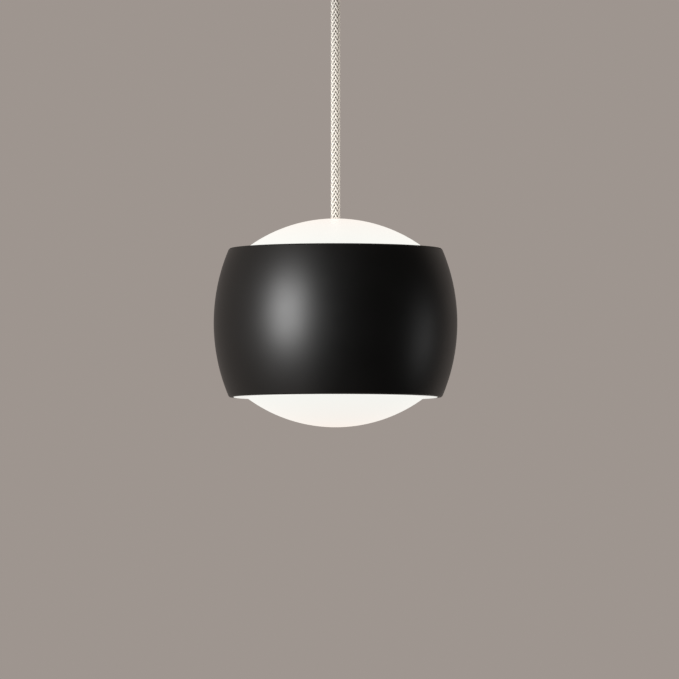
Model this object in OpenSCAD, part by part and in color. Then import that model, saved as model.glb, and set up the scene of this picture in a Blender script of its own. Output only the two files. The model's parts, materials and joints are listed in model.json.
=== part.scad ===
// Small pendant lamp: a black barrel housing that glows from a domed lens above and below.
// It hangs on one round braided cord from a ceiling canopy that holds its driver.
// Millimetres, +Z up. The origin lies in the ceiling plane, on the canopy's axis.

/* [Housing] */
// Largest outside diameter of the barrel
body_d = 110; // [106:1:130]
// Height between the two rims
body_h = 67; // [64:1:80]
// Outside diameter at each rim
rim_d = 96.2; // [95.6:0.1:102]
// Bevel on the outer edge of each rim
rim_bevel = 0.3; // [0.2:0.1:0.6]
// Wall between the barrel's outside and its two cups
body_wall = 3; // [2:0.1:4]
// Thickness of the lip that each lens snaps behind
lip_t = 2.7; // [2:0.1:4]
// Distance between the two faces that carry the light boards
core_h = 20; // [18:0.5:22]
// Thickness of the web across the barrel
web_t = 6; // [5:0.5:7]
// Diameter of the pocket under the web
pocket_d = 48; // [46:0.5:52]

/* [Lenses] */
// Diameter of each dome at its foot
dome_d = 80.4; // [74:0.2:82]
// Height of each dome above its flange
dome_rise = 13.4; // [10:0.1:16]
// Wall of the dome
lens_t = 3; // [2:0.1:3.5]
// Outside diameter of the flat flange
flange_d = 92; // [88:0.5:92.5]
// Thickness of the flange
flange_t = 2.2; // [1.8:0.1:3]
// How far the flange stands proud of the rim
flange_proud = 0.2; // [0.1:0.1:1.2]
// Rounding of the flange's outer edge
flange_edge = 0.3; // [0.1:0.1:0.9]
// Outside diameter of the skirt inside the lip
skirt_d = 83.4; // [81:0.2:84.6]
// Wall of the skirt
skirt_t = 2.4; // [1.8:0.1:3]
// How far a snap barb catches under the lip
barb_reach = 1; // [0.6:0.1:1.4]
// Height of a snap barb
barb_h = 1.6; // [1.2:0.1:2.4]
// Arc of the rim that each barb covers, in degrees
barb_arc = 24; // [12:1:40]
// Number of snap barbs on each lens
barb_n = 3; // [2:1:5]
// Thickness of the gasket under the flange
seal_t = 0.8; // [0.5:0.1:1.2]
// Clearance between a lens and the housing
lens_gap = 0.25; // [0.1:0.05:0.4]

/* [Light boards] */
// Diameter of each light board
board_d = 68; // [64:1:70]
// Thickness of each light board
board_t = 1.6; // [1:0.1:2]
// Light-emitting packages on each board
led_n = 12; // [6:3:18]
// Diameter of the ring that the packages sit on
led_ring_d = 48; // [44:1:52]
// Side of one package
led_w = 3; // [2:0.1:3.6]
// Height of one package
led_h = 0.8; // [0.5:0.1:1.2]
// Diameter of the round window in a package
led_window_d = 1.9; // [1.2:0.1:1.9]
// Depth of the round window
led_window_h = 0.2; // [0.1:0.05:0.4]
// Wall of each conical reflector
reflector_t = 1.2; // [0.8:0.1:1.6]
// Clearance around a light board inside its reflector
board_gap = 1; // [0.5:0.1:1.5]
// Margin of the boss beyond the foot of the reflector
boss_margin = 0.5; // [0.3:0.1:1]

/* [Gesture sensor] */
// Side of the sensor package
sensor_w = 4; // [3:0.1:5]
// Height of the sensor package
sensor_h = 1.6; // [1:0.1:2.4]
// Diameter of the dark shroud at its foot
shroud_d = 12; // [10:0.2:14]
// Diameter of the dark shroud at its tip
shroud_tip_d = 8; // [6:0.2:9]
// Wall of the shroud
shroud_t = 1.2; // [0.8:0.1:1.6]

/* [Cord and its hold in the housing] */
// Diameter of the braided cord
cord_d = 4.2; // [3.6:0.1:5]
// Clearance round the cord where it passes through a hole
cord_gap = 0.5; // [0.3:0.1:0.8]
// Outside diameter of the tube that leads the cord to the web
tube_d = 9; // [8.4:0.1:11]
// Diameter of the tube's threaded end
tube_thread_d = 8; // [7.4:0.1:8.2]
// Diameter of the tube's collar on the web
tube_collar_d = 13; // [11.5:0.5:15]
// Thickness of the tube's collar
tube_collar_t = 2; // [1.5:0.1:3]
// Diameter of the anchor that is screwed on below the web
anchor_d = 15; // [13:0.5:16]
// Height of the anchor
anchor_h = 9; // [8:0.5:9.5]
// Depth of the anchor's thread
anchor_thread_h = 4; // [3:0.1:4.5]
// Length of bare cord end below the anchor
cord_end_h = 1; // [0.6:0.1:1.4]
// Diameter of each lead inside the housing
head_lead_d = 1.2; // [0.8:0.1:1.4]

/* [Control board] */
// Thickness of the control board
control_t = 1.2; // [0.8:0.1:1.6]
// Clearance between the control board and the pocket
control_gap = 3; // [2:0.1:4]
// Diameter of the hole round the cord anchor
control_hole_d = 19; // [18:0.5:20]
// Height of the posts that carry the control board
post_h = 4; // [3.5:0.1:4.6]
// Diameter of the posts
post_d = 5; // [4.6:0.1:5.6]
// Margin between a post and the control board's edge
post_margin = 0.5; // [0.3:0.1:1]
// Distance from the axis to the leads that feed the upper light board
feed_r = 15; // [14.5:0.1:15.5]
// Distance between those two leads
feed_pitch = 2.8; // [2.4:0.1:3.2]
// Distance from the axis to the header between the control board and the lower light board
link_r = 12.6; // [12.2:0.1:12.8]
// Length of that header
link_l = 8; // [6:0.5:8.5]
// Width of that header
link_w = 2.6; // [2:0.1:2.8]

/* [Fasteners] */
// Diameter of the small machine screws
screw_d = 3; // [2.5:0.1:3.4]
// Head diameter of the small machine screws
screw_head_d = 5.4; // [4.4:0.1:6]
// Head height of the small machine screws
screw_head_h = 1.8; // [1.2:0.1:2.2]
// Height of the domed part of those heads
screw_dome_h = 1.1; // [0.6:0.1:1.1]
// Depth of the light boards' screws in the housing
board_screw_depth = 4.5; // [3:0.1:5]
// Margin between a screw head and the light board's edge
screw_margin = 0.8; // [0.4:0.1:1.2]
// Diameter of the screws in the control board's posts
post_screw_d = 2; // [1.6:0.1:2.2]
// Head diameter of the screws in the posts
post_screw_head_d = 4.3; // [3.6:0.1:4.8]
// Head height of the screws in the posts
post_screw_head_h = 1.4; // [1:0.1:1.8]
// Depth of the screws in the posts
post_screw_depth = 3; // [2:0.1:3.1]
// Width of the hexagon socket in the set screws that press on the cord
set_socket_w = 1.5; // [1.2:0.1:1.7]
// Clearance of screws and threaded ends in their holes
thread_gap = 0.05; // [0.02:0.01:0.15]

/* [Canopy] */
// Outside diameter of the canopy
canopy_d = 100; // [100:1:130]
// Height of the canopy
canopy_h = 36; // [36:1:60]
// Wall of the canopy
canopy_wall = 1.5; // [1:0.1:2]
// Rounding of the canopy's lower edge
canopy_edge = 5; // [3:0.5:8]
// Gap left between the canopy and the ceiling
ceiling_gap = 0.5; // [0.2:0.1:1]
// Height of the side screws below the ceiling
grub_drop = 8; // [6:0.5:9]
// Diameter of the side screws
grub_d = 4; // [3:0.1:4.6]
// Width of the hexagon socket in the side screws
grub_socket_w = 2; // [1.5:0.1:2.2]
// How far the side screws lie inside the canopy's outside
grub_sink = 0.8; // [0.5:0.1:1.5]
// Outside diameter of the riveted nuts
rivet_d = 6; // [5.6:0.1:6.6]
// Diameter of the riveted nuts' inner flange
rivet_flange_d = 8.4; // [7.6:0.1:9]
// Depth of the riveted nuts inside the wall
rivet_reach = 3.3; // [3:0.1:4]
// How far the riveted nuts' flat faces lie inside the wall's curve
rivet_sink = 0.25; // [0.2:0.05:0.5]
// Clearance of the canopy's fittings over the plate's tabs
tab_gap = 0.6; // [0.4:0.1:1]
// Clearance between a side screw's tip and its tab
tip_gap = 0.2; // [0.1:0.05:0.3]

/* [Cord grip] */
// Outside diameter of the grip
grip_d = 16; // [15:0.5:20]
// Height of the grip below the canopy
grip_h = 8; // [7:0.5:12]
// Height of the grip's flange
grip_flange_h = 3; // [2:0.1:4]
// How far the grip is drawn in below its flange
grip_waist = 1; // [0.5:0.1:1.5]
// Height of the flared mouth
mouth_h = 4; // [3:0.1:4.4]
// Half angle of the flared mouth, in degrees
mouth_angle = 40; // [36:1:44]
// Diameter of the threaded neck
neck_d = 10; // [9.6:0.1:12]
// Diameter of the washer inside the canopy
washer_d = 18; // [17:0.5:20]
// Thickness of the washer
washer_t = 1; // [0.6:0.1:1.6]
// Width of the lock nut across its flats
nut_w = 14; // [13.4:0.1:15]
// Height of the lock nut
nut_h = 4; // [3:0.1:4.5]
// Length of the neck above the lock nut
neck_free_h = 5; // [4.4:0.1:6]
// How far the grip's set screw stands out of the neck
grip_screw_out = 0.5; // [0.2:0.1:1]
// Length of cord that stands above the neck
tail_h = 3; // [2:0.1:3.4]

/* [Mounting plate] */
// Thickness of the plate
plate_t = 2; // [1.5:0.1:2.5]
// Inner radius of its bends
bend_r = 1; // [0.5:0.1:2]
// Width of each bent tab
tab_w = 12; // [10:0.5:16]
// Height of each bent tab
tab_h = 14; // [13:0.5:16]
// Distance between the centres of the two screw slots
slot_spacing = 60; // [56:1:61]
// Length of each screw slot
slot_l = 12; // [8:0.5:13]
// Width of each screw slot
slot_w = 4.5; // [4:0.1:5.5]
// Diameter of the mains hole in the plate
mains_hole_d = 14; // [12:0.5:15]
// Bore of the grommet in the mains hole
grommet_bore_d = 8; // [7:0.5:9]
// Diameter of the grommet's flange
grommet_flange_d = 17; // [16:0.5:18]
// Thickness of the grommet's flange
grommet_flange_t = 1.5; // [1:0.1:2]

/* [Driver] */
// Length of the driver
driver_l = 50; // [44:1:52]
// Width of the driver
driver_w = 27; // [25:0.5:28]
// Height of the driver
driver_h = 18; // [17:0.5:19]
// Distance from the canopy's axis to the driver's near side
driver_y = 9.5; // [9.5:0.1:10]
// Wall of the driver's case
driver_wall = 1.5; // [1:0.1:2]
// Rounding of the driver's upright edges
driver_edge = 3; // [2.4:0.1:4]
// Length of each screw ear
ear_l = 8; // [7:0.5:9]
// Thickness of each screw ear
ear_t = 2; // [1.5:0.1:3]
// Thickness of the circuit board inside
driver_board_t = 1.6; // [1:0.1:2]
// Height of the ledges that the board lies against
ledge_h = 1.5; // [1:0.1:2]
// Width of the ledges
ledge_w = 2; // [1.5:0.1:3]
// Width of the output plug
plug_l = 8; // [7:0.1:9]
// Depth of the output plug
plug_w = 6; // [5:0.1:7]
// Height of the plug inside its socket
plug_in_h = 5; // [4:0.1:6]
// Height of the plug below the driver
plug_out_h = 5; // [4.4:0.1:5.4]
// Step of the plug's outer end
plug_step = 1; // [0.6:0.1:1.4]
// Clearance of the plug in its socket
plug_gap = 0.3; // [0.2:0.05:0.5]
// Distance between the driver's near wall and the plug
plug_inset = 2; // [2:0.1:3]
// Wall of the socket
socket_wall = 1.5; // [1:0.1:1.6]
// Diameter of each output lead
lead_d = 1.4; // [1:0.1:1.6]
// Distance between the two leads at the cord's ends
lead_pitch = 1.8; // [1.6:0.1:2]

/* [Terminals] */
// Length of one pole of the terminal block
pole_l = 10; // [9:0.1:11]
// Number of poles
pole_n = 3; // [2:1:3]
// Width of the terminal block
block_w = 16; // [14:0.5:18]
// Height of the terminal block
block_h = 13; // [12:0.5:13.4]
// Distance from the canopy's axis to the terminal block
block_y = 10; // [9.5:0.1:11]
// Thickness of the foot under the block's fixing screw
block_foot_t = 3; // [2:0.1:4]
// Diameter of the wire holes
pole_hole_d = 4; // [3.4:0.1:4.4]
// Depth of the wire holes
pole_hole_h = 4; // [3:0.1:4.4]
// Diameter of the clamping screws
pole_screw_d = 3; // [2.4:0.1:3.4]
// Distance from the block's two sides to the clamping screws
pole_screw_inset = 2.7; // [2.4:0.1:3]
// Width and depth of the groove in a clamping screw
pole_groove_w = 0.6; // [0.4:0.1:0.8]
// Height of the wire holes and mains leads below the ceiling
mains_drop = 9; // [8.5:0.1:9.5]
// Diameter of each mains lead
mains_lead_d = 2.4; // [2:0.1:3]
// Distance from the terminal block to the earth screw
earth_gap = 7; // [5:0.5:8]
// Diameter of the earth screw's cup washer
earth_cup_d = 9; // [7:0.5:9.5]
// Thickness of the earth screw's cup washer
earth_cup_t = 1; // [0.6:0.1:1.6]

/* [Hidden] */
$fn = 96;

// Small overlap that lets a cut run past a face
past = 1;
// Clearance between pieces that are trapped and not clamped
rest_gap = 0.3;

// The cord hangs straight: distances below its bending point in the grip
cord_drops = [0, 9, 18, 27, 36, 45, 54, 63, 72, 81, 90, 99, 108];
cord_r = cord_d / 2;
cord_free = cord_drops[len(cord_drops) - 1];
cord_sides = 12;
// Steps of the rounded top that lets the cord swing in the grip, in degrees
cord_top_steps = [90, 60, 30];

// Heights in the canopy, from the ceiling down
canopy_bottom = -ceiling_gap - canopy_h;
canopy_floor = canopy_bottom + canopy_wall;
grip_bottom = canopy_bottom - grip_h;
pivot_z = grip_bottom + mouth_h;
nut_bottom = canopy_floor + washer_t;
neck_top = nut_bottom + nut_h + neck_free_h;
tail_z = neck_top + tail_h;
driver_bottom = -plate_t - driver_h;
plug_y = driver_y + driver_wall + plug_inset + plug_w / 2;
plug_bottom = driver_bottom - plug_out_h;

// Radii in the canopy, from the outside in
canopy_r = canopy_d / 2;
canopy_in_r = canopy_r - canopy_wall;
rivet_in_r = canopy_in_r - rivet_reach;
tab_r = rivet_in_r - tab_gap;
plate_r = tab_r - plate_t - bend_r;
tab_angles = [90, 210, 330];

// Heights in the housing, from its middle
crown_z = pivot_z - cord_free;
half_h = body_h / 2;
flange_top = half_h + flange_proud;
crown_top = flange_top + dome_rise;
crown_in = crown_top - lens_t;
head_z = crown_z - crown_top;
flange_under = flange_top - flange_t;
seat_z = flange_under - seal_t;
lip_under = seat_z - lip_t;
skirt_end = lip_under - rest_gap - barb_h;
core_top = core_h / 2;
web_under = core_top - web_t;
control_top = web_under - post_h;
control_under = control_top - control_t;
anchor_bottom = web_under - anchor_h;
cord_end_z = anchor_bottom - cord_end_h;
anchor_screw_z = anchor_bottom + (anchor_h - anchor_thread_h) / 2;

// Radii in the housing
body_r = body_d / 2;
rim_r = rim_d / 2;
barrel_r = (pow(half_h, 2) + pow(body_r - rim_r, 2)) / (2 * (body_r - rim_r));
flange_r = flange_d / 2;
seat_r = flange_r + lens_gap;
skirt_r = skirt_d / 2;
lip_r = skirt_r + lens_gap;
dome_r = (pow(dome_d / 2, 2) + pow(dome_rise, 2)) / (2 * dome_rise);
pocket_r = pocket_d / 2;
board_r = board_d / 2;
reflector_r = board_r + board_gap;
boss_r = reflector_r + reflector_t + boss_margin;
cord_hole_r = cord_r + cord_gap;
control_r = pocket_r - control_gap;
post_ring_r = control_r - post_d / 2 - post_margin;
board_screw_ring_r = board_r - screw_head_d / 2 - screw_margin;
screw_angles = [30, 150, 270];
screw_hole_r = screw_d / 2 + thread_gap;
lead_r = lead_d / 2;
lead_xs = [-lead_pitch / 2, lead_pitch / 2];
head_lead_r = head_lead_d / 2;
feed_xs = [-feed_pitch / 2, feed_pitch / 2];

// Route of the head's inner leads: distance from the axis, and height
head_lead_route = [
    [0, cord_end_z], [0, cord_end_z - 0.4], [0.4, cord_end_z - 1.1], [1.2, cord_end_z - 1.7],
    [2.6, cord_end_z - 2], [4.4, cord_end_z - 2.1], [6.4, cord_end_z - 1.9], [8.6, cord_end_z - 1.2],
    [10.4, cord_end_z + 0.2], [11.6, cord_end_z + 1.9], [12, control_under - 1.2], [12, control_under]
];

// Route of the output leads, from the cord's tail to the plug: distance from the axis, and height
output_route = [
    [0, tail_z], [0, tail_z + 0.6], [0.3, tail_z + 1.8], [1.4, tail_z + 3.3], [3.2, tail_z + 4],
    [5, tail_z + 3.4], [6.3, tail_z + 1.8], [7, tail_z - 0.4], [plug_y - 8.4, plug_bottom + 0.2],
    [plug_y - 7.2, plug_bottom - 2.2], [plug_y - 5.2, plug_bottom - 4],
    [plug_y - 2.8, plug_bottom - 4.5], [plug_y - 0.8, plug_bottom - 3.4],
    [plug_y, plug_bottom - 1.6], [plug_y, plug_bottom]
];

// Places on the mounting plate
driver_mid_y = driver_y + driver_w / 2;
ear_xs = [-(driver_l + ear_l) / 2, (driver_l + ear_l) / 2];
block_l = pole_l * pole_n;
block_far_y = -block_y - block_w;
block_mid_y = -block_y - block_w / 2;
block_bottom = -plate_t - block_h;
pole_xs = [for (i = [0 : pole_n - 1]) (i - (pole_n - 1) / 2) * pole_l];
pole_screw_ys = [-block_y - pole_screw_inset, block_far_y + pole_screw_inset];
earth_y = block_far_y - earth_gap;

// Sizes inside the driver
lid_top = driver_bottom + driver_wall;
driver_board_top = -plate_t - driver_wall - ledge_h;
driver_board_under = driver_board_top - driver_board_t;
driver_in_l = driver_l - 2 * driver_wall;
driver_in_w = driver_w - 2 * driver_wall;
driver_in_edge = driver_edge - driver_wall;

// Route of the mains leads, from the block's outer poles into the driver: distance from the axis, and height
mains_z = -mains_drop;
mains_route = [
    [-block_y - pole_hole_h, mains_z], [-block_y, mains_z], [-8, mains_z], [-6, mains_z - 0.3],
    [-4, mains_z - 1], [-2, mains_z - 1.6], [0, mains_z - 1.8], [2, mains_z - 1.6], [4, mains_z - 1],
    [6, mains_z - 0.3], [8, mains_z], [driver_y, mains_z], [driver_y + driver_wall, mains_z]
];
mains_xs = [pole_xs[0], pole_xs[pole_n - 1]];

echo(head_height = 2 * crown_top, overall_height = crown_top - head_z);

// Points of one ring of a tube along a route that keeps its distance across
function ring_of(route, i, r, sides) =
    let (
        before = route[max(i - 1, 0)],
        after = route[min(i + 1, len(route) - 1)],
        along = (after - before) / norm(after - before),
        side = cross(along, [1, 0, 0])
    )
    [for (k = [0 : sides - 1])
        route[i] + r * (cos(360 * k / sides) * [1, 0, 0] + sin(360 * k / sides) * side)];

// Triangles of a tube whose rings follow each other in the list of points
function tube_faces(rings, sides) = concat(
    [for (i = [0 : rings - 2], k = [0 : sides - 1], half = [0, 1])
        let (
            a = i * sides + k,
            b = i * sides + (k + 1) % sides
        )
        half == 0 ? [a, b, b + sides] : [a, b + sides, a + sides]],
    [for (k = [1 : sides - 2]) [0, k + 1, k]],
    [for (k = [1 : sides - 2]) (rings - 1) * sides * [1, 1, 1] + [0, k, k + 1]]
);

// A tube along a route of points
module tube(route, r, sides) {
    polyhedron(
        points = [for (i = [0 : len(route) - 1]) each ring_of(route, i, r, sides)],
        faces = tube_faces(len(route), sides)
    );
}

// A lead whose route is given as distance and height, at a set place across
module lead(route, x, r) {
    tube([for (p = route) [x, p[0], p[1]]], r, 8);
}

module at_head() {
    translate([0, 0, head_z]) children();
}

module around(angles) {
    for (a = angles) rotate([0, 0, a]) children();
}

module disc(r, z_low, z_high) {
    translate([0, 0, z_low]) cylinder(r = r, h = z_high - z_low);
}

// A machine screw with a domed head above z = 0 and its shank below
module machine_screw(length) {
    head_r = screw_head_d / 2;
    straight_h = screw_head_h - screw_dome_h;
    ball_r = (pow(head_r, 2) + pow(screw_dome_h, 2)) / (2 * screw_dome_h);
    disc(head_r, 0, straight_h);
    intersection() {
        translate([0, 0, screw_head_h - ball_r]) sphere(r = ball_r);
        disc(head_r, straight_h / 2, screw_head_h);
    }
    disc(screw_d / 2, -length, straight_h / 2);
}

// Half plane profile of the barrel's outside, taken in by a wall
module barrel_profile(wall) {
    translate([body_r - barrel_r, 0]) circle(r = barrel_r - wall, $fn = 256);
}

// Half plane profile between two heights, out to a radius
module band(r, z_low, z_high) {
    translate([0, z_low]) square([r, z_high - z_low]);
}

module rim_corner() {
    polygon([
        [rim_r - rim_bevel, half_h], [rim_r - rim_bevel, half_h + past],
        [rim_r + 2 * past, half_h + past], [rim_r + 2 * past, half_h - rim_bevel - 2 * past]
    ]);
}

module lens_seat() {
    band(seat_r, seat_z, half_h + past);
    band(lip_r, lip_under - past, seat_z + past);
    rim_corner();
}

module housing_profile() {
    difference() {
        intersection() {
            barrel_profile(0);
            band(body_r + past, -half_h, half_h);
        }
        lens_seat();
        mirror([0, 1]) lens_seat();
        intersection() {
            barrel_profile(body_wall);
            band(body_r, core_top, lip_under);
        }
        difference() {
            intersection() {
                barrel_profile(body_wall);
                band(body_r, -lip_under, web_under);
            }
            band(boss_r, -core_top, web_under + past);
        }
        band(pocket_r, -core_top - past, web_under);
    }
}

module housing() {
    color([0.05, 0.05, 0.05]) at_head() difference() {
        rotate_extrude() housing_profile();
        disc(tube_thread_d / 2 + thread_gap, web_under - past, core_top + past);
        for (x = feed_xs) translate([x, feed_r, 0])
            disc(head_lead_r + rest_gap, web_under - past, core_top + past);
        around(screw_angles) {
            translate([board_screw_ring_r, 0, 0]) {
                disc(screw_hole_r, core_top - board_screw_depth - rest_gap, core_top + past);
                disc(screw_hole_r, -core_top - past, rest_gap + board_screw_depth - core_top);
            }
            translate([post_ring_r, 0, 0]) disc(screw_hole_r, web_under - past, web_under + web_t / 2);
        }
    }
}

module lens_profile() {
    dome_z = crown_top - dome_r;
    difference() {
        union() {
            intersection() {
                translate([0, dome_z]) circle(r = dome_r, $fn = 256);
                band(flange_r, flange_top - flange_t / 2, crown_top + past);
            }
            difference() {
                band(flange_r, flange_under, flange_top);
                translate([flange_r - flange_edge, flange_top - flange_edge]) difference() {
                    square(flange_edge + past);
                    circle(r = flange_edge);
                }
            }
            band(skirt_r, skirt_end, flange_top - flange_t / 2);
        }
        intersection() {
            translate([0, dome_z]) circle(r = dome_r - lens_t, $fn = 256);
            band(skirt_r - skirt_t, flange_under, crown_top);
        }
        band(skirt_r - skirt_t, skirt_end - past, flange_under);
    }
}

// A ramped barb that springs out under the lip
module barbs() {
    for (i = [0 : barb_n - 1]) rotate([0, 0, 360 * i / barb_n + 90 - barb_arc / 2])
        rotate_extrude(angle = barb_arc) polygon([
            [skirt_r - skirt_t / 2, lip_under - rest_gap], [skirt_r + barb_reach, lip_under - rest_gap],
            [skirt_r + barb_reach, lip_under - rest_gap - barb_h / 3], [skirt_r, skirt_end],
            [skirt_r - skirt_t / 2, skirt_end]
        ]);
}

module lens() {
    rotate_extrude() lens_profile();
    barbs();
}

module upper_lens() {
    color([1, 0.97, 0.9]) at_head() difference() {
        lens();
        disc(cord_hole_r, crown_in - past, crown_top + past);
        translate([0, 0, crown_top - cord_gap])
            cylinder(r1 = cord_hole_r, r2 = cord_hole_r + past + cord_gap, h = past + cord_gap);
    }
}

module lower_lens() {
    color([1, 0.97, 0.9]) at_head() mirror([0, 0, 1]) lens();
}

module lens_seal() {
    difference() {
        disc(flange_r - lens_gap, seat_z, flange_under);
        disc(lip_r, seat_z - past, flange_under + past);
    }
}

module upper_lens_seal() {
    color([0.85, 0.85, 0.83]) at_head() lens_seal();
}

module lower_lens_seal() {
    color([0.85, 0.85, 0.83]) at_head() mirror([0, 0, 1]) lens_seal();
}

// A flared cone that stands on the core round a light board and ends under the lens skirt
module reflector() {
    top_r = skirt_r - skirt_t;
    height = skirt_end - rest_gap - core_top;
    flare = (top_r - reflector_r) / height;
    translate([0, 0, core_top]) difference() {
        cylinder(r1 = reflector_r + reflector_t, r2 = top_r + reflector_t, h = height);
        translate([0, 0, -past])
            cylinder(r1 = reflector_r - flare * past, r2 = top_r + flare * past, h = height + 2 * past);
    }
}

module upper_reflector() {
    color("white") at_head() reflector();
}

module lower_reflector() {
    color("white") at_head() mirror([0, 0, 1]) reflector();
}

module board_screw_holes() {
    around(screw_angles) translate([board_screw_ring_r, 0, 0]) disc(screw_hole_r, -half_h, half_h);
}

module upper_led_board() {
    color([0.92, 0.93, 0.92]) at_head() difference() {
        disc(board_r, core_top, core_top + board_t);
        disc(tube_collar_d / 2 + board_gap, core_top - past, core_top + board_t + past);
        for (x = feed_xs) translate([x, feed_r, 0])
            disc(head_lead_r + thread_gap, core_top - past, core_top + board_t + past);
        board_screw_holes();
    }
}

module lower_led_board() {
    color([0.92, 0.93, 0.92]) at_head() difference() {
        disc(board_r, -core_top - board_t, -core_top);
        board_screw_holes();
    }
}

// Light-emitting packages, each a body with a shallow round window
module leds() {
    for (i = [0 : led_n - 1]) rotate([0, 0, 360 * (i + 0.5) / led_n])
        translate([led_ring_d / 2, 0, core_top + board_t]) difference() {
            translate([-led_w / 2, -led_w / 2, 0]) cube([led_w, led_w, led_h]);
            disc(led_window_d / 2, led_h - led_window_h, led_h + past);
        }
}

module upper_leds() {
    color([1, 0.85, 0.35]) at_head() leds();
}

module lower_leds() {
    color([1, 0.85, 0.35]) at_head() mirror([0, 0, 1]) leds();
}

module board_screws() {
    around(screw_angles) translate([board_screw_ring_r, 0, core_top + board_t])
        machine_screw(board_screw_depth + board_t);
}

module upper_board_screws() {
    color([0.75, 0.76, 0.78]) at_head() board_screws();
}

module lower_board_screws() {
    color([0.75, 0.76, 0.78]) at_head() mirror([0, 0, 1]) board_screws();
}

module cord_tube() {
    color("white") at_head() difference() {
        union() {
            disc(tube_d / 2, core_top, crown_in - rest_gap);
            disc(tube_collar_d / 2, core_top, core_top + tube_collar_t);
            disc(tube_thread_d / 2, web_under - anchor_thread_h + rest_gap, core_top + past);
        }
        disc(cord_hole_r, -half_h, crown_top);
    }
}

module cord_anchor() {
    color([0.8, 0.66, 0.35]) at_head() difference() {
        disc(anchor_d / 2, anchor_bottom, web_under);
        disc(tube_thread_d / 2 + thread_gap, web_under - anchor_thread_h, web_under + past);
        disc(cord_r + thread_gap, anchor_bottom - past, web_under);
        translate([0, 0, anchor_screw_z]) rotate([0, -90, 0]) disc(screw_hole_r, 0, anchor_d);
    }
}

// A set screw with a hexagon socket, pointing along +Z from the cord's side to its outer end
module set_screw(r_in, r_out, d, socket_w) {
    difference() {
        disc(d / 2, r_in, r_out);
        translate([0, 0, r_out - socket_w]) cylinder(d = socket_w, h = socket_w + past, $fn = 6);
    }
}

// A set screw that presses the cord inside the anchor
module anchor_screw() {
    color([0.35, 0.35, 0.37]) at_head() translate([0, 0, anchor_screw_z]) rotate([0, -90, 0])
        set_screw(cord_r + rest_gap / 2, anchor_d / 2, screw_d, set_socket_w);
}

module cord_bottom_end() {
    color([0.93, 0.91, 0.86]) at_head() disc(cord_r, cord_end_z, crown_top);
}

module board_posts() {
    color([0.8, 0.66, 0.35]) at_head() around(screw_angles) translate([post_ring_r, 0, 0]) difference() {
        union() {
            translate([0, 0, control_top]) cylinder(d = post_d, h = post_h, $fn = 6);
            disc(screw_d / 2, web_under - past / 2, web_under + web_t / 2 - rest_gap);
        }
        disc(post_screw_d / 2 + thread_gap, control_top - past, control_top + post_screw_depth + rest_gap);
    }
}

module control_board() {
    color([0.1, 0.35, 0.2]) at_head() difference() {
        disc(control_r, control_under, control_top);
        disc(control_hole_d / 2, control_under - past, control_top + past);
        around(screw_angles) translate([post_ring_r, 0, 0])
            disc(post_screw_d / 2 + thread_gap, control_under - past, control_top + past);
    }
}

// Coil, two capacitors and the controller chip, under the control board
module control_parts() {
    coil_d = 8;
    coil_hole_d = 3.2;
    coil_h = 4;
    can_d = 5;
    can_h = 5;
    chip_w = 5;
    chip_h = 1;
    part_r = (control_r + control_hole_d / 2) / 2;
    color([0.2, 0.2, 0.22]) at_head() {
        rotate([0, 0, 90]) translate([part_r, 0, 0]) difference() {
            disc(coil_d / 2, control_under - coil_h, control_under);
            disc(coil_hole_d / 2, control_under - coil_h - past, control_under - coil_h / 2);
        }
        around([-60, -120]) translate([part_r, 0, 0]) disc(can_d / 2, control_under - can_h, control_under);
        rotate([0, 0, 180]) translate([part_r - chip_w / 2, -chip_w / 2, control_under - chip_h])
            cube([chip_w, chip_w, chip_h]);
    }
}

module control_board_screws() {
    color([0.75, 0.76, 0.78]) at_head() around(screw_angles) translate([post_ring_r, 0, control_under])
        mirror([0, 0, 1]) {
            disc(post_screw_head_d / 2, 0, post_screw_head_h);
            disc(post_screw_d / 2, -control_t - post_screw_depth, past / 2);
        }
}

module head_leads() {
    color([0.75, 0.12, 0.1]) at_head() rotate([0, 0, -90])
        for (x = lead_xs) lead(head_lead_route, x, head_lead_r);
}

// Leads that rise from the control board to the upper light board, with their soldered ends
module upper_feed_leads() {
    solder_h = 0.7;
    solder_rim = 0.4;
    color([0.75, 0.12, 0.1]) at_head() for (x = feed_xs) translate([x, feed_r, 0]) {
        disc(head_lead_r, control_top, core_top + board_t + solder_h / 2);
        translate([0, 0, core_top + board_t])
            cylinder(r1 = head_lead_r + solder_rim, r2 = head_lead_r - solder_rim / 2, h = solder_h);
    }
}

module link_header() {
    color([0.08, 0.08, 0.08]) at_head() translate([-link_l / 2, -link_r - link_w / 2, -core_top])
        cube([link_l, link_w, control_under + core_top]);
}

// A small package with one window that sends and one that receives
module gesture_sensor() {
    window_d = 1.3;
    window_h = 0.4;
    color([0.12, 0.12, 0.14]) at_head() translate([0, 0, -core_top - board_t - sensor_h]) difference() {
        translate([-sensor_w / 2, -sensor_w / 2, 0]) cube([sensor_w, sensor_w, sensor_h]);
        for (x = [-sensor_w / 4, sensor_w / 4]) translate([x, 0, 0]) disc(window_d / 2, -past, window_h);
    }
}

// A tapered dark tube between the sensor and the crown of the lower lens
module sensor_shroud() {
    top = -core_top - board_t;
    height = crown_in - rest_gap + top;
    flare = (shroud_d - shroud_tip_d) / 2 / height;
    color([0.05, 0.05, 0.05]) at_head() translate([0, 0, top]) mirror([0, 0, 1]) difference() {
        cylinder(d1 = shroud_d, d2 = shroud_tip_d, h = height);
        translate([0, 0, -past]) cylinder(
            r1 = shroud_d / 2 - shroud_t + flare * past, r2 = shroud_tip_d / 2 - shroud_t - flare * past,
            h = height + 2 * past
        );
    }
}

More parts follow.
